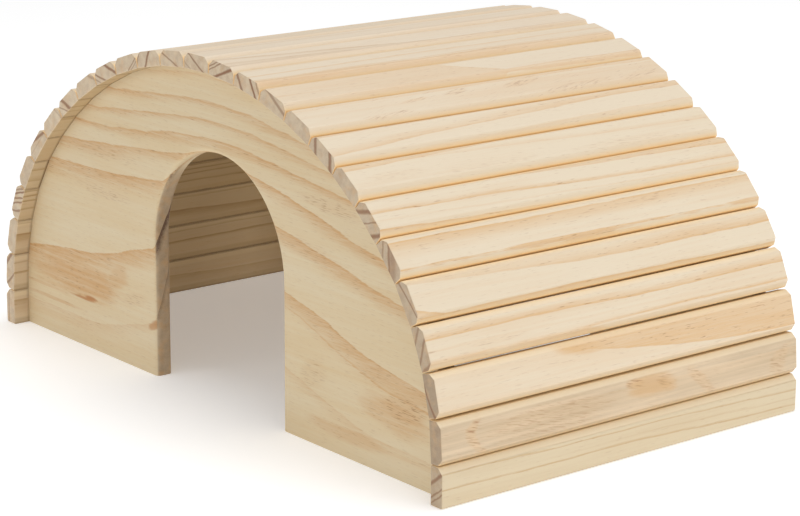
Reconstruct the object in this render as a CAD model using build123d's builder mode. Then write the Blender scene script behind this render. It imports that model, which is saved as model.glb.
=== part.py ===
from build123d import *
import math
import os

# Arched wooden house for a hamster: 27 bevelled slats laid edge to edge over two end boards.
# Millimetres, +Z up. The origin is on the floor in the middle of the house, and the
# doorway of the front board faces -Y. Slats run along Y and are numbered from -X to +X.

# Arch that the slats are laid on (the outer edge of both end boards)
crown_radius = 147.5  # flatter stretch over the middle
shoulder_radius = 93.5  # tighter stretch on each side
crown_half_angle = 48.5  # degrees from the vertical to where the shoulder starts
foot_height = 14.2  # straight stretch that the lowest slat on each side covers

# Slats
slat_count = 27  # odd, so that one slat lies on the crown
slat_length = 170.0
slat_thickness = 6.0
slat_bevel = 2.2  # planed off both outer long edges
slat_bevel_round = 0.9  # softens the two edges of each bevel
slat_end_round = 0.5
seam_gap = 0.2  # between neighbouring slats at their inner face

# End boards
board_thickness = 7.0
board_setback = 7.0  # from the slat ends to the board's face

# Doorway, the same in both boards
door_width = 81.0
door_height = 94.5  # to the top of its round arch
door_offset = 1.5  # the doorway stands a little to the right of the middle
door_edge_round = 2.0  # on both faces of the board

# The arch from its crown to the top of the lowest slat, measured along the curve
break_angle = math.radians(crown_half_angle)
crown_run = crown_radius * break_angle
shoulder_run = shoulder_radius * (math.pi / 2 - break_angle)
shoulder_x = (crown_radius - shoulder_radius) * math.sin(break_angle)
crown_z = foot_height - (crown_radius - shoulder_radius) * math.cos(break_angle)


def arch_point(run):
    """Point (x, z) at a distance along the arch from the crown, negative on the left."""
    side = math.copysign(1, run)
    if abs(run) <= crown_run:
        angle = abs(run) / crown_radius
        return side * crown_radius * math.sin(angle), crown_z + crown_radius * math.cos(angle)
    angle = break_angle + (abs(run) - crown_run) / shoulder_radius
    x = shoulder_x + shoulder_radius * math.sin(angle)
    return side * x, foot_height + shoulder_radius * math.cos(angle)


# Beds are the flats that the slats lie on. They meet at the seams, and the outer two stand upright.
arched_slats = slat_count - 2
bed_run = 2 * (crown_run + shoulder_run) / arched_slats
seams = [arch_point((i - arched_slats / 2) * bed_run) for i in range(arched_slats + 1)]
foot_left = (seams[0][0], 0.0)
foot_right = (seams[-1][0], 0.0)
bed_corners = [foot_left, *seams, foot_right]

os.makedirs("parts", exist_ok=True)

# Slats: each lies flat on its bed on both boards
for i in range(slat_count):
    start = Vector(bed_corners[i][0], 0, bed_corners[i][1])
    end = Vector(bed_corners[i + 1][0], 0, bed_corners[i + 1][1])
    bed_width = (end - start).length
    bed_plane = Plane(
        origin=(start + end) / 2 + Vector(0, slat_length / 2, 0),
        x_dir=end - start,
        z_dir=(0, -1, 0),
    )
    first = i == 0
    last = i == slat_count - 1
    left = -bed_width / 2 + (0 if first else seam_gap / 2)
    right = bed_width / 2 - (0 if last else seam_gap / 2)

    with BuildPart() as slat:
        with BuildSketch(bed_plane) as section:
            with Locations(((left + right) / 2, slat_thickness / 2)):
                Rectangle(right - left, slat_thickness)
            outer = section.vertices().group_by(Axis.Y)[-1].sort_by(Axis.X)
            # the edge that a lowest slat stands on is left square
            chamfer(outer[1:] if first else outer[:1] if last else outer, slat_bevel)
            fillet(section.vertices().filter_by(lambda v: v.Y > slat_bevel_round), slat_bevel_round)
        extrude(amount=slat_length)
        fillet(slat.faces().filter_by(Axis.Y).edges(), slat_end_round)
    name = f"slat_{i + 1:02d}"
    slat.part.label = name
    export_step(slat.part, f"parts/{name}.step")

# Front board: its edge is planed into the beds, and its doorway is rounded over on both faces
door_radius = door_width / 2
door_spring = door_height - door_radius
with BuildPart() as front_board:
    with BuildSketch(Plane.XZ.offset(slat_length / 2 - board_setback)):
        with BuildLine():
            Polyline(*bed_corners, close=True)
        make_face()
        with Locations((door_offset, 0)):
            Rectangle(door_width, door_spring, align=(Align.CENTER, Align.MIN), mode=Mode.SUBTRACT)
        with Locations((door_offset, door_spring)):
            Circle(door_radius, mode=Mode.SUBTRACT)
    extrude(amount=-board_thickness)
    door_edges = (
        front_board.edges()
        .filter_by(Axis.Y, reverse=True)
        .filter_by_position(Axis.X, door_offset - door_radius, door_offset + door_radius)
        .filter_by_position(Axis.Z, 0, door_height, inclusive=(False, True))
    )
    fillet(door_edges, door_edge_round)
front_board.part.label = "front_board"
export_step(front_board.part, "parts/front_board.step")

# Rear board: the same pattern, facing the other way
with BuildPart() as rear_board:
    mirror(front_board.part, about=Plane.XZ)
rear_board.part.label = "rear_board"
export_step(rear_board.part, "parts/rear_board.step")
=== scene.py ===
import math
from collections import namedtuple
import bpy
from mathutils import Matrix, Vector


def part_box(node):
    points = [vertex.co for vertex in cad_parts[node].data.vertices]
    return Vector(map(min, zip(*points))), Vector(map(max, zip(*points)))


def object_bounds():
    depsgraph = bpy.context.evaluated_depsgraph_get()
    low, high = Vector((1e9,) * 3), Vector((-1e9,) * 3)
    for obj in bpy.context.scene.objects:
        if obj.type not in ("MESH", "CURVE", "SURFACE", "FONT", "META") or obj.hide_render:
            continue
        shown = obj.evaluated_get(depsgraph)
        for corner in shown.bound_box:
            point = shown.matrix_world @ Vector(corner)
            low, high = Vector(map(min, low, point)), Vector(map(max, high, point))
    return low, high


# Dressing of an arched pine house for a hamster: 27 bevelled slats over two end boards.
# Metres, in the frame's own axes. Wood is described in millimetres in each piece's own grain
# axes: along the grain, across it, and down into the wood from its outer face.

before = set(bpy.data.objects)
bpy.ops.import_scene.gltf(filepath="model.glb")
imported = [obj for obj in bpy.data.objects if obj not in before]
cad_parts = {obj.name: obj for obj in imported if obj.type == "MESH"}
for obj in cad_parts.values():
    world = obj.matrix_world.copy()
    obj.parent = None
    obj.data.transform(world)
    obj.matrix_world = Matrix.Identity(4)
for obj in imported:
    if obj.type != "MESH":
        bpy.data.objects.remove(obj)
cad_low, cad_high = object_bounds()

MM = 0.001
SLAT_COUNT = 27
CROWN_SLAT = 14


# ---------------------------------------------------------------- shader building

def paint(red, green, blue):
    """A colour as a screen shows it, 0 to 255, in the linear numbers that shaders take."""
    linear = [((c / 255 + 0.055) / 1.055) ** 2.4 for c in (red, green, blue)]
    return (*linear, 1.0)


class Value:
    """A number or colour that changes over a surface; arithmetic on numbers adds Math nodes."""

    def __init__(self, finish, socket):
        self.finish = finish
        self.socket = socket

    def math(self, operation, *operands):
        return self.finish.node("ShaderNodeMath", {"operation": operation}, operands)

    def __add__(self, other):
        return self.math("ADD", self, other)

    def __sub__(self, other):
        return self.math("SUBTRACT", self, other)

    def __rsub__(self, other):
        return self.math("SUBTRACT", other, self)

    def __mul__(self, other):
        return self.math("MULTIPLY", self, other)

    def __truediv__(self, other):
        return self.math("DIVIDE", self, other)

    def __abs__(self):
        return self.math("ABSOLUTE", self)

    __radd__ = __add__
    __rmul__ = __mul__

    def at_least(self, other):
        return self.math("MAXIMUM", self, other)

    def at_most(self, other):
        return self.math("MINIMUM", self, other)

    def rise(self, low, high):
        """0 below low and 1 above high, smooth in between; it falls where low is above high."""
        return self.finish.node(
            "ShaderNodeMapRange",
            {"interpolation_type": "SMOOTHSTEP"},
            {"Value": self, "From Min": low, "From Max": high},
        )


class Finish:
    """One material and the tools to build its nodes."""

    def __init__(self, name):
        self.material = bpy.data.materials.new(name)
        self.material.use_nodes = True
        self.tree = self.material.node_tree
        self.shader = self.tree.nodes["Principled BSDF"]

    def node(self, kind, settings=None, inputs=(), output=0):
        """Adds a node: its settings first, then a value or link for each named or numbered socket."""
        made = self.tree.nodes.new(kind)
        for name, setting in (settings or {}).items():
            setattr(made, name, setting)
        for name, value in inputs.items() if isinstance(inputs, dict) else enumerate(inputs):
            if isinstance(value, Value):
                self.tree.links.new(value.socket, made.inputs[name])
            else:
                made.inputs[name].default_value = value
        return Value(self, made.outputs[output])

    def vector(self, operation, *operands):
        return self.node("ShaderNodeVectorMath", {"operation": operation}, operands)

    def mix(self, share, low, high):
        """The colour low, going to high as share goes from 0 to 1."""
        return self.node("ShaderNodeMix", {"data_type": "RGBA"}, {0: share, 6: low, 7: high}, output=2)

    def parts(self, vector):
        split = self.node("ShaderNodeSeparateXYZ", None, [vector])
        return [Value(self, socket) for socket in split.socket.node.outputs]

    def noise(self, place, size, detail=2.0, roughness=0.5, shift=0.0):
        """Noise from 0 to 1 with lumps of about size millimetres along, across and into the wood."""
        scale = [1 / millimetres for millimetres in size]
        moved = self.vector("MULTIPLY_ADD", place, scale, (shift, shift, shift))
        inputs = {"Vector": moved, "Scale": 1.0, "Detail": detail, "Roughness": roughness}
        return self.node("ShaderNodeTexNoise", {"noise_dimensions": "3D"}, inputs)

    def set(self, **levels):
        """Sets or links the shader's own sockets; a word break in a socket's name is written _."""
        for name, value in levels.items():
            socket = self.shader.inputs[name.replace("_", " ")]
            if isinstance(value, Value):
                self.tree.links.new(value.socket, socket)
            else:
                socket.default_value = value


# ---------------------------------------------------------------- pine

# A growth ring where the outer face shows it: where its sharp edge lies across the wood at the
# near end and at the far end, how far and to which side its colour fades, how strong it is at
# the near end and at the far end (the same if not given), and how far it bows between them.
Ring = namedtuple("Ring", "near far fade strong strong_far bow", defaults=(None, 0.0))

# A spot in the wood: its middle along and across the wood, its half sizes, its strength, and how
# far its sides lean along the wood and curl back.
Spot = namedtuple("Spot", "along across long wide strong lean curl", defaults=(0.0, 0.0))

# A growth ring as a sawn end shows it: where it crosses the outer and the inner face, half its
# width, its strength, and how far it bows between the faces.
Line = namedtuple("Line", "outer inner wide strong bow", defaults=(0.0,))

# The wood of one piece: how far its rings lean through it, how warm it is from 0 to 1, or brown
# from 1 to 2, its rings, its spots of short dark flecks, its patches in the colour of a ring, its
# resin streaks, and the slope of its flecks.
Wood = namedtuple("Wood", "lean warm rings clouds patches streaks slope", defaults=((), (), (), 0.0))

# The colours of one kind of pine: pale and warm wood, the dark side of a ring, a fleck, a streak,
# the sawn end, the rings in it, and brown wood.
Tones = namedtuple("Tones", "pale warm late fleck streak end end_late brown", defaults=(None,))

SLAT_TONES = Tones(
    pale=paint(236, 220, 194),
    warm=paint(232, 208, 176),
    late=paint(226, 188, 140),
    fleck=paint(166, 116, 76),
    streak=paint(212, 170, 116),
    end=paint(231, 212, 182),
    end_late=paint(138, 90, 54),
    brown=paint(198, 176, 144),
)
BOARD_TONES = Tones(
    pale=paint(230, 212, 177),
    warm=paint(225, 199, 154),
    late=paint(213, 169, 116),
    fleck=paint(170, 122, 76),
    streak=paint(188, 124, 62),
    end=paint(196, 173, 142),
    end_late=paint(112, 86, 66),
)
# Yellower wood for the slat at the right foot, darkened with painted shade
YELLOW_SHADED_TONES = SLAT_TONES._replace(
    pale=paint(222, 205, 173), warm=paint(216, 195, 160), late=paint(200, 166, 118)
)
# Paler wood for the crown slats, partly painted sheen, with darker rings
CROWN_SHEEN_TONES = SLAT_TONES._replace(
    pale=paint(239, 223, 198), warm=paint(235, 211, 180), late=paint(206, 172, 130)
)
# Dull sawn ends, also standing in for painted shade on the ends towards the right foot
DULL_AND_SHADED_END = paint(182, 161, 134)
# Painted sheen that pales the slats facing up at the crown
PAINTED_CROWN_SHEEN = paint(250, 232, 212)
# Warm painted light on the groove walls, brightest at their bottom
GROOVE_PAINTED_LIGHT = paint(244, 215, 166)
GROOVE_BOTTOM_PAINTED_LIGHT = paint(252, 220, 168)
SHADED_BEVEL = paint(150, 124, 88)
# Painted highlight on the upper bevels of steep slats
PAINTED_BEVEL_HIGHLIGHT = paint(252, 234, 202)
# The inner faces' golden tone, partly their own colour and partly painted shade
INNER_TONE_AND_SHADE = paint(178, 147, 88)
# Dark rings on the inner faces, and painted shade in their seams and along the boards
INNER_RINGS_AND_SHADE = paint(112, 84, 48)
RELIEF = 0.06 * MM  # height of the raised fibres


class Pine(Finish):
    """Solid pine: rings, fibres and flecks run through the wood, so every face and end agrees."""

    def __init__(self, name, tones, to_grain, length, seed):
        super().__init__(name)
        self.tones = tones
        self.length = length
        self.seed = seed
        place = self.node("ShaderNodeTexCoord", output=3)
        self.grain = self.node("ShaderNodeMapping", {"vector_type": "POINT"}, {0: place, **to_grain})
        self.along, self.across, self.depth = self.parts(self.grain)

        # Fine fibres, a slow drift, ripples, and the figure of short bands
        self.fibre = self.noise(self.grain, (9.0, 0.32, 0.32), detail=3.0, shift=seed)
        self.slow = self.noise(self.grain, (70.0, 9.0, 9.0), detail=1.0, shift=seed + 3.0)
        self.ripple = self.noise(self.grain, (16.0, 3.0, 3.0), shift=seed + 7.0)
        self.figure = self.noise(self.grain, (45.0, 1.4, 1.4), detail=3.0, shift=seed + 11.0)

    def wander(self, slow, ripple, fibre):
        """How many millimetres the rings wander, from how far each noise moves them."""
        return (self.slow - 0.5) * slow + (self.ripple - 0.5) * ripple + (self.fibre - 0.5) * fibre

    def sawn(self, axis):
        """1 on faces cut across the grain, which runs along the axis numbered 0, 1 or 2."""
        facing = self.parts(self.node("ShaderNodeNewGeometry", output=1))
        return abs(facing[axis]).rise(0.55, 0.85)

    def ring(self, ring, position):
        """How strongly one growth ring shows at a position across the wood."""
        share = self.along / self.length
        edge = share * (ring.far - ring.near) + ring.near
        if ring.bow:
            edge = edge - share * (1 - share) * 4 * ring.bow
        side = 1 if ring.fade > 0 else -1
        past = (position - edge) * side
        strong_far = ring.strong if ring.strong_far is None else ring.strong_far
        strength = share * (strong_far - ring.strong) + ring.strong
        body = past.rise(abs(ring.fade), 0.0) * 0.8 + past.rise(1.1, 0.3) * 0.2
        return past.rise(-0.12, 0.22) * body * strength.at_least(0.0)

    def rings(self, rings, position, grit):
        """All growth rings together, broken up by the fibres as much as grit says."""
        total = self.ring(rings[0], position)
        for ring in rings[1:]:
            total = total.at_least(self.ring(ring, position))
        broken = (self.fibre - 0.5) * grit + (self.figure - 0.5) * (grit * 0.7) + 1
        return (total * broken.at_least(0.0)).at_most(1.0)

    def line(self, line, thickness):
        """How strongly one growth ring shows on a sawn end."""
        share = self.depth / thickness
        place = share * (line.inner - line.outer) + line.outer
        if line.bow:
            place = place + share * (1 - share) * 4 * line.bow
        away = abs(self.across + (self.ripple - 0.5) * 1.2 - place)
        return away.rise(line.wide * 1.7, line.wide * 0.3) * line.strong

    def spot(self, spot):
        """The spot's strength in its ragged middle, and 0 outside it."""
        up = (self.across - spot.across) / spot.wide
        over = (self.along - spot.along) / spot.long
        over = over - up * (spot.lean / spot.long) - up * up * (spot.curl / spot.long)
        return (over * over + up * up + (self.ripple - 0.5) * 1.4).rise(1.15, 0.1) * spot.strong

    def long_grain(self, wood, late, rare):
        """The colour of faces cut along the grain, and how much each point is fleck.

        Late is how strongly the rings show, and flecks are fewer where rare is higher.
        """
        tones = self.tones
        uneven = (self.slow - 0.5) * 1.2 + (self.figure - 0.5) * 1.3 + (self.fibre - 0.5) * 0.4
        warmth = uneven + wood.warm
        colour = self.mix(warmth, tones.pale, tones.warm)
        if wood.warm > 1:
            colour = self.mix(warmth - 1, colour, tones.brown)
        for patch in wood.patches:
            late = late.at_least(self.spot(patch) * ((self.figure - 0.5) * 1.6 + 1))
        colour = self.mix(late, colour, tones.late)

        # Short dark flecks: a few everywhere, more in the rings, most in the clouds
        sloped = self.across + self.along * wood.slope
        skewed = self.node("ShaderNodeCombineXYZ", None, [self.along, sloped, self.depth])
        dash = self.noise(skewed, (4.6, 0.36, 0.6), detail=1.0, shift=self.seed + 20.0)
        fleck = dash.rise(rare, rare + 0.12) * (late * 0.7 + 0.25)
        for cloud in wood.clouds:
            shown = self.spot(cloud)
            colour = self.mix(shown * 0.35, colour, tones.late)
            fleck = fleck.at_least(dash.rise(0.53, 0.68) * shown)
        for streak in wood.streaks:
            colour = self.mix(self.spot(streak), colour, tones.streak)
        return self.mix(fleck * 0.8, colour, tones.fleck), fleck

    def end_grain(self, late, end):
        """The colour of a sawn end, and its pores."""
        pores = self.noise(self.grain, (0.4, 0.25, 0.25), shift=self.seed + 40.0)
        mottle = self.noise(self.grain, (6.0, 3.6, 3.6), shift=self.seed + 50.0)
        colour = self.mix((mottle - 0.48) * 2.0, end, self.tones.late)
        darker = (pores - 0.5) * 0.5 + (self.ripple - 0.5) * 0.6 + 0.1
        colour = self.mix(darker, colour, self.tones.end_late)
        return self.mix(late, colour, self.tones.end_late), pores

    def cover(self, node, colour, fleck, pores, sawn):
        """Gives the finished wood to a piece, with its raised fibres and open pores."""
        height = self.fibre * 0.6 + pores * sawn * 1.5 - fleck * 0.6
        inputs = {"Strength": 0.35, "Distance": RELIEF, "Height": height}
        bump = self.node("ShaderNodeBump", None, inputs)
        self.set(Base_Color=colour, Roughness=(self.fibre - 0.5) * 0.3 + 0.55, Normal=bump)
        self.set(Specular_IOR_Level=0.45)
        node.data.materials.clear()
        node.data.materials.append(self.material)


# ---------------------------------------------------------------- slats

# The wood of each slat, from the left foot over the crown to the right foot
SLATS = {
    1: Wood(0.3, 0.3, (Ring(9.0, 3.0, -7.0, 0.6, 0.3), Ring(12.0, 12.6, 1.6, 0.5))),
    2: Wood(1.0, 0.4, (Ring(2.0, 3.5, -1.6, 0.7), Ring(12.0, 10.5, -2.5, 0.8),
                       Ring(5.6, 6.8, 1.0, 0.5))),
    3: Wood(0.4, 0.3, (Ring(7.4, 2.4, -5.5, 0.85, 0.7), Ring(11.0, 10.0, 1.4, 0.5))),
    4: Wood(0.7, 0.6, (Ring(1.0, 1.5, 1.4, 0.7), Ring(5.0, 5.5, 1.0, 0.9), Ring(7.4, 7.8, 1.1, 0.9),
                       Ring(9.6, 10.2, 1.2, 1.0), Ring(12.0, 12.6, 1.2, 0.8))),
    5: Wood(0.2, 0.2, (Ring(3.0, 5.0, 4.0, 0.45), Ring(9.0, 12.0, 2.0, 0.6))),
    6: Wood(2.4, 0.5, (Ring(9.0, 4.0, 4.5, 0.8), Ring(0.5, 1.0, 3.0, 0.5))),
    7: Wood(0.4, 0.3, (Ring(11.0, 8.0, 4.0, 0.5), Ring(2.0, 4.0, 2.0, 0.3))),
    8: Wood(0.85, 0.5, (Ring(0.3, 1.5, -1.0, 0.6), Ring(3.4, 6.0, 1.7, 0.9))),
    9: Wood(1.2, 0.4, (Ring(11.0, 7.0, 3.0, 0.5), Ring(5.0, 2.0, 2.6, 0.3))),
    10: Wood(1.3, 0.5, (Ring(0.0, 1.0, -1.3, 0.7), Ring(6.2, 8.0, 2.4, 0.8))),
    11: Wood(-1.1, 0.2, (Ring(13.6, 12.0, -1.3, 0.6), Ring(11.0, 9.0, -1.0, 0.35))),
    12: Wood(-0.75, 0.3, (Ring(9.8, 8.0, -1.2, 0.8), Ring(2.6, 2.0, -1.6, 0.6))),
    13: Wood(1.8, 0.4, (Ring(2.4, 4.0, -1.4, 0.5), Ring(9.0, 11.0, 3.5, 0.1, 0.4))),
    14: Wood(1.2, 0.25, (Ring(5.0, 6.0, -1.6, 0.45, 0.1), Ring(10.0, 12.0, 3.0, 0.1, 0.35))),
    15: Wood(-1.8, 0.2, (Ring(2.5, 15.0, 3.0, 0.75, 0.4, -2.6), Ring(8.6, 13.6, 3.4, 0.5, 0.5, -1.0),
                         Ring(11.6, 12.2, 4.0, 0.5, 0.3), Ring(2.0, 1.2, -2.0, 0.1, 0.5))),
    16: Wood(0.6, 0.1, (Ring(2.4, 2.6, 1.0, 0.3), Ring(6.6, 6.8, 1.2, 0.8, 0.7),
                        Ring(10.8, 10.9, 1.0, 0.8, 0.5), Ring(11.6, 11.8, 9.0, 1.0, 0.7))),
    17: Wood(1.6, 0.0, (Ring(-28.4, 39.6, 70.0, 0.55), Ring(2.6, 2.4, -5.0, 0.5, 0.6),
                        Ring(8.5, 10.0, 2.5, 0.6, -0.3), Ring(13.4, 12.0, 4.0, 0.2, 0.7)),
             clouds=(Spot(160.0, 2.0, 10.0, 1.4, 0.5, 4.0),)),
    18: Wood(0.3, 0.35, (Ring(6.0, 5.0, 12.0, 0.0, 0.25), Ring(3.6, 4.2, -5.0, 0.25, 0.6)),
             (Spot(51.0, 6.8, 6.0, 1.2, 0.8, -4.0), Spot(71.0, 5.6, 5.0, 1.8, 0.7, -3.0),
              Spot(103.0, 5.5, 9.0, 2.6, 0.7, -5.0), Spot(124.0, 12.3, 20.0, 1.8, 0.5, -6.0),
              Spot(158.0, 11.5, 12.0, 2.4, 0.5, -5.0), Spot(36.0, 12.5, 12.0, 1.4, 0.5, -4.0)),
             slope=0.22),
    19: Wood(0.45, 0.05, (Ring(12.6, 4.4, -4.6, 0.65, 0.8, 1.5), Ring(2.8, 1.8, -2.0, 0.6, 0.0),
                          Ring(14.0, 12.0, 2.0, 0.1, 0.4))),
    20: Wood(0.3, 0.1, (Ring(3.8, -1.0, -5.0, 0.75, 0.0), Ring(1.4, 7.8, -2.6, 0.2, 0.45, -0.8)),
             (Spot(20.0, 9.0, 14.0, 2.4, 0.25), Spot(60.0, 11.5, 26.0, 1.8, 0.25),
              Spot(125.0, 11.8, 34.0, 2.0, 0.25)), slope=-0.1),
    21: Wood(-0.73, 0.1, (Ring(6.9, 11.1, -2.2, 0.85, 0.85), Ring(0.2, 4.5, -5.0, 0.2, 0.85),
                          Ring(13.6, 17.5, 3.0, 1.0, 0.3), Ring(10.2, 14.0, -1.0, 0.2, 0.35))),
    22: Wood(1.3, 0.1, (Ring(2.9, 2.5, 6.6, 0.85, 0.8, -0.3), Ring(12.6, 12.8, 6.0, 0.8)),
             (Spot(118.0, 5.0, 16.0, 1.2, 0.3), Spot(84.0, 5.4, 9.0, 1.0, 0.3))),
    23: Wood(-0.3, 0.05, (Ring(2.4, 6.4, -5.5, 0.35, 1.0, -1.6), Ring(13.7, 14.2, 5.0, 0.9),
                          Ring(10.8, 52.0, 6.0, 0.8))),
    24: Wood(1.0, 0.3, (Ring(5.8, 6.2, -3.8, 0.9, 1.0, 0.2), Ring(13.2, 12.6, -1.6, 0.5, 0.9),
                         Ring(9.6, 9.8, -1.2, 0.25, 0.0), Ring(14.8, 15.0, -1.4, 0.6)),
             (Spot(30.0, 10.4, 14.0, 0.9, 0.4),)),
    25: Wood(-1.0, 0.5, (Ring(-9.0, 13.2, -30.0, 0.95, 0.95, -4.8),),
             patches=(Spot(64.0, 1.6, 14.0, 4.4, 0.9, 6.0),)),
    26: Wood(0.2, 1.45, (Ring(4.0, 5.0, 8.0, 0.1, 0.2),),
             (Spot(13.0, 8.0, 3.0, 7.5, 1.0, 2.0, 7.0), Spot(48.0, 8.0, 34.0, 6.5, 0.45),
              Spot(88.0, 3.4, 5.0, 2.4, 0.8), Spot(103.0, 5.0, 5.0, 4.5, 0.6, 3.0),
              Spot(120.0, 8.0, 4.0, 6.5, 0.8, 6.0), Spot(160.0, 8.0, 5.0, 6.0, 0.6, -3.0, 4.0)),
             streaks=(Spot(96.0, 5.2, 13.0, 5.4, 0.65, 2.0),), slope=-0.2),
    27: Wood(0.9, 0.2, (Ring(2.4, 5.6, -1.0, 0.7, 0.7, 0.3), Ring(7.5, 11.6, -0.9, 0.8, 0.7, 0.5),
                         Ring(5.4, 8.6, -0.7, 0.0, 0.45), Ring(1.2, 1.8, -0.8, 0.6, 0.5))),
}

# The slats that have other colours than the rest: the crown's paler, partly with painted sheen, and
# the right foot's yellower, darkened with painted shade
OTHER_TONES = {14: CROWN_SHEEN_TONES, 15: CROWN_SHEEN_TONES, 27: YELLOW_SHADED_TONES}

# How dark the painted shade line where a slat meets a board is, on the slats where it shows most
BOARD_SHADE_LINES = {5: 0.95, 6: 0.6}

# How dull each slat's sawn end is, with painted shade that grows towards the right foot, and the
# growth rings in it
SLAT_ENDS = {
    1: (0.15, [Line(-48.0, 116.0, 8.0, 0.5)]),
    2: (0.2, [Line(0.7, 7.0, 0.7, 0.7), Line(10.0, 18.0, 1.1, 0.75)]),
    3: (0.2, []),
    4: (0.1, [Line(1.4, 5.2, 0.5, 0.7), Line(5.0, 9.2, 0.45, 0.75), Line(7.5, 11.2, 0.45, 0.75),
              Line(9.6, 14.2, 0.5, 0.85), Line(11.4, 16.0, 0.5, 0.6)]),
    5: (0.25, []),
    6: (0.15, [Line(6.0, 26.0, 2.2, 0.8), Line(-70.0, 95.0, 9.0, 0.25)]),
    7: (0.05, [Line(12.5, 15.0, 0.5, 0.3)]),
    8: (0.05, [Line(-1.5, 5.5, 0.5, 0.6), Line(3.7, 8.0, 0.9, 0.8), Line(12.8, 24.0, 1.0, 0.6)]),
    9: (0.1, [Line(10.8, 19.0, 0.9, 0.45)]),
    10: (0.15, [Line(-2.4, 7.2, 0.7, 0.75), Line(-4.6, 3.6, 0.5, 0.5), Line(8.4, 16.4, 0.9, 0.85)]),
    11: (0.2, [Line(18.5, 8.3, 0.5, 0.6), Line(21.0, 10.5, 0.5, 0.5)]),
    12: (0.15, [Line(9.1, 5.0, 0.6, 0.85), Line(2.2, -0.8, 0.6, 0.6)]),
    13: (0.15, [Line(-0.7, 11.9, 0.8, 0.65)]),
    14: (0.15, [Line(2.6, 12.4, 0.7, 0.75), Line(-5.6, 4.4, 0.7, 0.4)]),
    15: (0.15, [Line(15.5, 3.5, 1.2, 0.9), Line(7.4, -2.8, 0.5, 0.7), Line(5.2, -5.0, 0.5, 0.7)]),
    16: (0.15, [Line(0.9, 5.4, 0.8, 0.8), Line(8.8, 13.8, 0.7, 0.9), Line(12.6, 17.0, 0.4, 0.5)]),
    17: (0.2, [Line(4.0, 22.0, 2.0, 0.6)]),
    18: (0.25, [Line(10.0, 13.0, 1.2, 0.15)]),
    19: (0.3, [Line(1.5, 4.8, 0.8, 0.75), Line(10.5, 14.3, 1.0, 0.8)]),
    20: (0.35, [Line(3.0, 4.5, 1.5, 0.2)]),
    21: (0.4, [Line(6.0, 1.2, 0.9, 0.75), Line(10.4, 6.2, 0.35, 0.6), Line(15.4, 12.0, 0.9, 0.8)]),
    22: (0.5, [Line(3.6, 11.2, 1.0, 0.7), Line(7.0, 13.6, 2.6, 0.45), Line(-0.5, 5.5, 0.6, 0.5)]),
    23: (0.55, [Line(17.0, -6.0, 1.5, 0.65, -3.0)]),
    24: (0.6, [Line(-1.5, 6.0, 0.7, 0.55), Line(4.6, 13.0, 0.8, 0.6), Line(13.4, 15.8, 0.7, 0.6)]),
    25: (1.0, [Line(17.0, 3.0, 1.3, 0.75, 3.5)]),
    26: (1.0, []),
    27: (0.6, [Line(1.9, 6.6, 0.8, 0.75), Line(6.7, 11.6, 0.4, 0.65), Line(8.9, 13.4, 0.4, 0.65)]),
}


# From the slats' ends to the outer and to the inner face of a board, in millimetres
BOARD_FACE, BOARD_BACK = [(corner.y - cad_low.y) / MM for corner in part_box("front_board")]

SLAT_BEVEL = 2.2  # how far the planed bevels reach in from a slat's long edges


def slat_axes(node):
    """A slat's own axes, along, across and into it, with its lowest corner and size in them."""
    mesh = node.data
    # The inner face is the widest, so the largest polygon lies on it
    inner = max(mesh.polygons, key=lambda polygon: polygon.area)
    outward = -inner.normal
    across = Vector((0, 1, 0)).cross(outward)
    turn = Matrix((Vector((0, 1, 0)), across, -outward))
    corners = [turn @ vertex.co / MM for vertex in mesh.vertices]
    start = Vector([min(corner[axis] for corner in corners) for axis in range(3)])
    end = Vector([max(corner[axis] for corner in corners) for axis in range(3)])
    return turn, start, end - start


def grooves(pine, size, colour):
    """Paints warm light onto the walls of the planed grooves between slats, against their shade, most
    of all at their bottom.
    """
    to_edge = pine.across.at_most(size.y - pine.across)
    above_inner = pine.depth.rise(size.z - 0.1, size.z - 0.7)
    wall = to_edge.rise(2.0, 0.2) * pine.depth.rise(0.1, 2.0) * above_inner
    bottom = to_edge.rise(0.8, 0.1) * pine.depth.rise(1.5, 2.4) * above_inner
    colour = pine.mix(wall * 0.7, colour, GROOVE_PAINTED_LIGHT)
    return pine.mix(bottom, colour, GROOVE_BOTTOM_PAINTED_LIGHT)


def bevels(pine, size, colour, up, number):
    """Paints shade on the lower bevel of a slat and a highlight on its upper one, more the steeper it
    lies.
    """
    to_low_edge = pine.across if number < CROWN_SLAT else size.y - pine.across
    to_high_edge = size.y - to_low_edge
    steep = max(0.0, 0.35 - up * 0.46)
    low_bevel = to_low_edge.rise(SLAT_BEVEL + 0.8, SLAT_BEVEL - 0.4) * pine.depth.rise(0.0, 0.7)
    high_bevel = to_high_edge.rise(SLAT_BEVEL + 0.8, SLAT_BEVEL - 0.4) * pine.depth.rise(0.0, 0.7)
    colour = pine.mix(low_bevel * steep, colour, SHADED_BEVEL)
    return pine.mix(high_bevel * (steep * 2), colour, PAINTED_BEVEL_HIGHLIGHT)


def inner_face(pine, size, colour, up, late, number):
    """Makes the inner face more golden, partly its own tone and partly painted shade, most between the
    boards and high up where it faces down; darkens its rings, and paints shade in its seams and along
    each board.
    """
    inner = pine.depth.rise(size.z - 0.15, size.z - 0.05)
    to_end = pine.along.at_most(size.x - pine.along)
    inside = to_end.rise(BOARD_FACE, BOARD_BACK)
    colour = pine.mix(inner * (inside * 0.25 + (0.25 + up * 0.45)), colour, INNER_TONE_AND_SHADE)

    to_edge = pine.across.at_most(size.y - pine.across)
    seam_shade = to_edge.rise(0.8, 0.4) * (inside * 0.15 + 0.3)
    corner = to_end.rise(BOARD_FACE - 1.4, BOARD_FACE) * to_end.rise(BOARD_BACK + 1.4, BOARD_BACK)
    board_shade_line = corner * BOARD_SHADE_LINES.get(number, 0.35 + up * 0.35)
    shade = (late * 0.45).at_least(board_shade_line).at_least(seam_shade)
    return pine.mix(inner * shade, colour, INNER_RINGS_AND_SHADE)


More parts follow.
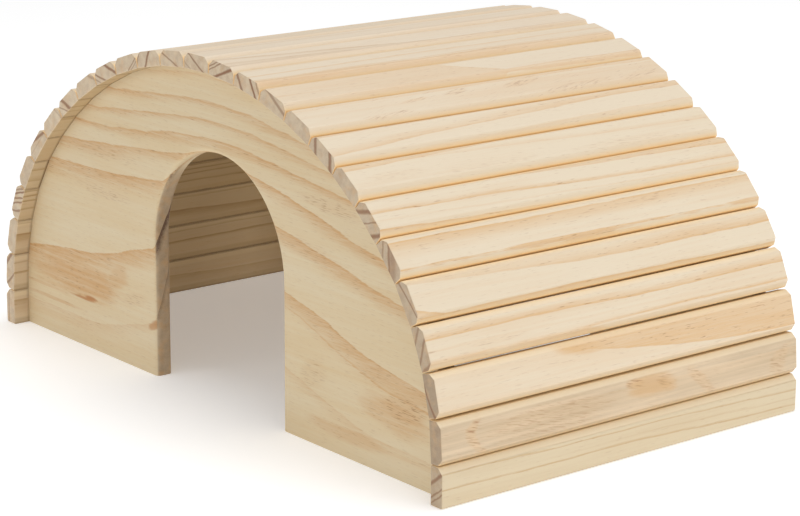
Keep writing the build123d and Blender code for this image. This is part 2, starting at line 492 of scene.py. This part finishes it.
def slat_finish(number):
    """The wood of one slat, seen on its faces, bevels and ends."""
    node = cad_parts[f"slat_{number:02d}"]
    wood = SLATS[number]
    turn, start, size = slat_axes(node)
    to_grain = {"Location": -start, "Rotation": turn.to_euler(), "Scale": (1 / MM,) * 3}
    tones = OTHER_TONES.get(number, SLAT_TONES)
    pine = Pine(f"pine_slat_{number:02d}", tones, to_grain, size.x, seed=11.3 * number)

    position = pine.across - pine.depth * wood.lean + pine.wander(slow=2.6, ripple=0.9, fibre=0.7)
    late = pine.rings(wood.rings, position, grit=0.9)
    colour, fleck = pine.long_grain(wood, late, rare=0.64)

    # How far up the slat faces, from 0 at the feet to 1 on the crown, where a painted sheen pales the
    # wood
    up = -turn[2].z
    colour = pine.mix(max(0.0, up - 0.8), colour, PAINTED_CROWN_SHEEN)
    colour = grooves(pine, size, colour)
    colour = bevels(pine, size, colour, up, number)
    colour = inner_face(pine, size, colour, up, late, number)

    dull_and_shade, lines = SLAT_ENDS[number]
    end_late = pine.fibre * 0.1
    for line in lines:
        end_late = end_late.at_least(pine.line(line, size.z))
    end_colour, pores = pine.end_grain(end_late, pine.mix(dull_and_shade, SLAT_TONES.end, DULL_AND_SHADED_END))
    sawn = pine.sawn(axis=1)
    pine.cover(node, pine.mix(sawn, colour, end_colour), fleck, pores, sawn)


for number in range(1, SLAT_COUNT + 1):
    slat_finish(number)


# ---------------------------------------------------------------- end boards

# Each board is cut flat from the log with its grain level, and its rings peak at a place along it
BOARDS = {
    "front_board": (142.0, Wood(
        3.5, 0.35,
        (Ring(118.0, 112.0, -3.0, 0.3), Ring(109.5, 101.2, -4.0, 0.7), Ring(99.7, 97.6, -3.5, 0.7),
         Ring(93.2, 91.2, -4.5, 0.75, 0.9, 0.3), Ring(80.4, 70.3, -6.5, 0.75, 0.95, -9.1),
         Ring(72.4, 59.5, -8.0, 0.9, 0.9, -5.8), Ring(33.9, 33.1, -12.0, 1.0, 0.8, -8.9),
         Ring(28.4, 26.6, 2.2, 0.1, 0.8, -7.0), Ring(11.0, 10.0, -6.0, 0.35, 0.3)),
        clouds=(Spot(245.0, 26.0, 13.0, 5.5, 1.0), Spot(228.0, 34.0, 10.0, 3.0, 0.5, -4.0),
                Spot(205.0, 88.0, 18.0, 3.5, 0.6, -8.0), Spot(190.0, 70.0, 22.0, 4.0, 0.5, -8.0),
                Spot(79.0, 27.0, 9.0, 4.0, 0.5, 6.0), Spot(194.0, 26.0, 8.0, 7.0, 0.4, 3.0),
                Spot(60.0, 82.0, 30.0, 3.0, 0.5), Spot(60.0, 66.0, 22.0, 3.0, 0.5)),
        patches=(Spot(36.0, 27.0, 38.0, 9.0, 0.8), Spot(68.0, 33.0, 8.0, 8.0, 0.55, 5.0, -4.0),
                 Spot(16.0, 19.0, 24.0, 0.8, 0.5), Spot(20.0, 14.5, 24.0, 1.0, 0.5),
                 Spot(240.0, 22.0, 22.0, 7.0, 0.5, -6.0), Spot(215.0, 8.5, 28.0, 3.2, 0.5)),
        streaks=(Spot(41.0, 19.6, 11.0, 0.7, 0.8), Spot(48.5, 20.6, 5.0, 1.0, 0.9),
                 Spot(93.0, 20.0, 3.4, 2.8, 0.65, 3.0)),
    )),
    "rear_board": (120.0, Wood(
        -2.5, 0.4,
        (Ring(118.0, 112.0, -4.0, 0.5), Ring(101.0, 96.0, -5.0, 0.6), Ring(86.0, 90.0, -4.0, 0.4, 0.6),
         Ring(70.0, 66.0, -8.0, 0.7), Ring(50.0, 54.0, -5.0, 0.4), Ring(28.0, 22.0, -11.0, 0.85),
         Ring(10.0, 8.0, -5.0, 0.4)),
        clouds=(Spot(60.0, 62.0, 20.0, 4.0, 0.6), Spot(214.0, 18.0, 20.0, 5.0, 0.7)),
        patches=(Spot(200.0, 46.0, 22.0, 7.0, 0.6, -6.0),),
        streaks=(Spot(225.0, 44.0, 9.0, 1.2, 0.6),),
    )),
}
# The rings rise towards the doorway, most near the floor: how far from the peak the rise begins
# and is full, its height low down and high up, and where it changes from one to the other.
RISE_START = 100.0
RISE_FULL = 0.0
RISE_LOW = 20.0
RISE_HIGH = 8.0
RISE_CHANGE = (40.0, 70.0)


def board_finish(name):
    """The wood of one end board, with its rings lifted over the doorway."""
    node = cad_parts[name]
    peak, wood = BOARDS[name]
    low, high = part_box(name)
    behind = name == "rear_board"
    to_grain = {
        "Location": -Vector((low.x, low.z, -high.y if behind else low.y)) / MM,
        "Rotation": (-math.pi / 2, 0, 0),
        "Scale": Vector((1, 1 if behind else -1, 1)) / MM,
    }
    pine = Pine(f"pine_{name}", BOARD_TONES, to_grain, (high.x - low.x) / MM, seed=300.0 + peak)

    over_door = abs(pine.along - peak).rise(RISE_START, RISE_FULL)
    lift = over_door * (RISE_LOW - pine.across.rise(*RISE_CHANGE) * (RISE_LOW - RISE_HIGH))
    wander = pine.wander(slow=3.0, ripple=1.6, fibre=1.4)
    late = pine.rings(wood.rings, pine.across - lift - pine.depth * wood.lean + wander, grit=1.7)
    colour, fleck = pine.long_grain(wood, late, rare=0.61)

    end_colour, pores = pine.end_grain((late * 1.6).at_most(1.0), BOARD_TONES.end)
    sawn = pine.sawn(axis=0)
    pine.cover(node, pine.mix(sawn, colour, end_colour), fleck, pores, sawn)


for name in BOARDS:
    board_finish(name)


# ---------------------------------------------------------------- studio

LIGHTS_AIM = Vector((0, 0, 0.05))


def floor():
    """A white floor, 12 metres square, that glows a little so that shadows stay soft."""
    half = 6.0
    corners = [(-half, -half, 0), (half, -half, 0), (half, half, 0), (-half, half, 0)]
    mesh = bpy.data.meshes.new("floor")
    mesh.from_pydata(corners, [], [(0, 1, 2, 3)])
    piece = bpy.data.objects.new("floor", mesh)
    bpy.context.scene.collection.objects.link(piece)
    finish = Finish("pale_floor")
    finish.set(Base_Color=(0.97, 0.97, 0.97, 1.0), Roughness=0.9)
    finish.set(Specular_IOR_Level=0.0, Emission_Color=(1.0, 1.0, 1.0, 1.0), Emission_Strength=0.27)
    mesh.materials.append(finish.material)


def softbox(name, place, size, power):
    """A square light of a size in metres, turned to the house."""
    light = bpy.data.lights.new(name, "AREA")
    light.shape = "SQUARE"
    light.size = size
    light.energy = power
    lamp = bpy.data.objects.new(name, light)
    lamp.location = place
    lamp.rotation_euler = (LIGHTS_AIM - Vector(place)).to_track_quat("-Z", "Y").to_euler()
    bpy.context.scene.collection.objects.link(lamp)


def camera():
    """Looks at the house from the right of its front, a little from above."""
    place = Vector((0.7528, -0.5979, 0.2989))
    turn = math.radians(51.10)
    down = math.radians(14.92)
    tilt = math.radians(0.39)
    data = bpy.data.cameras.new("camera")
    data.sensor_width = 36.0
    data.lens = 115.86
    view = bpy.data.objects.new("camera", data)
    view.location = place
    heading = Matrix.Rotation(turn, 3, "Z") @ Matrix.Rotation(math.pi / 2 - down, 3, "X")
    view.rotation_euler = (heading @ Matrix.Rotation(tilt, 3, "Z")).to_euler()
    bpy.context.scene.collection.objects.link(view)
    bpy.context.scene.camera = view


def surroundings(level):
    """Even white light from all around."""
    world = bpy.data.worlds.new("studio")
    world.use_nodes = True
    world.node_tree.nodes["Background"].inputs["Color"].default_value = (1, 1, 1, 1)
    world.node_tree.nodes["Background"].inputs["Strength"].default_value = level
    bpy.context.scene.world = world


floor()
surroundings(0.41)
softbox("top_light", (0.30, 0.10, 2.20), size=1.6, power=24.5)
softbox("front_light", (-0.45, -2.10, 0.70), size=0.8, power=3.3)
softbox("side_light", (1.70, 0.50, 0.24), size=0.5, power=5.2)
camera()
bpy.context.scene.view_settings.view_transform = "Standard"
